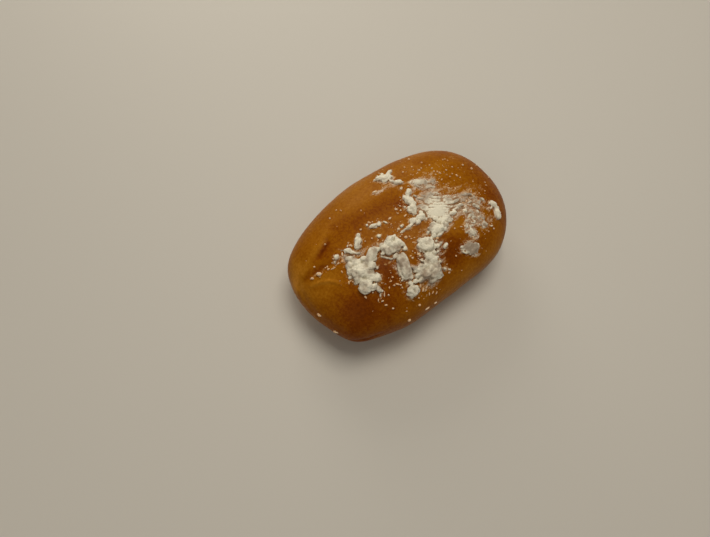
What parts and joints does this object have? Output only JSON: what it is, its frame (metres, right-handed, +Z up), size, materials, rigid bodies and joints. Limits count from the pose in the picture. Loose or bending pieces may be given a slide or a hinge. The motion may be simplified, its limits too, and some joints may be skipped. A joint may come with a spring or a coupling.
{
  "type": "bread roll",
  "caption": "Oval soft bread roll with a smooth golden-brown crust, a seam at one end, and caked white flour lying in lumps on top.",
  "frame": {"origin": "middle of the roll at its flat foot, on the surface it rests on", "axes": "+X along the roll's length, away from the end with the seam, +Y across it, +Z up through the top crust"},
  "size_m": [0.1309, 0.0852, 0.0493],
  "materials": {
    "crust": "golden-brown baked crust with a soft satin gloss",
    "flour": "dry matte white caked flour"
  },
  "bodies": {
    "root": {"bread_roll": "crust"}
  },
  "joints": []
}
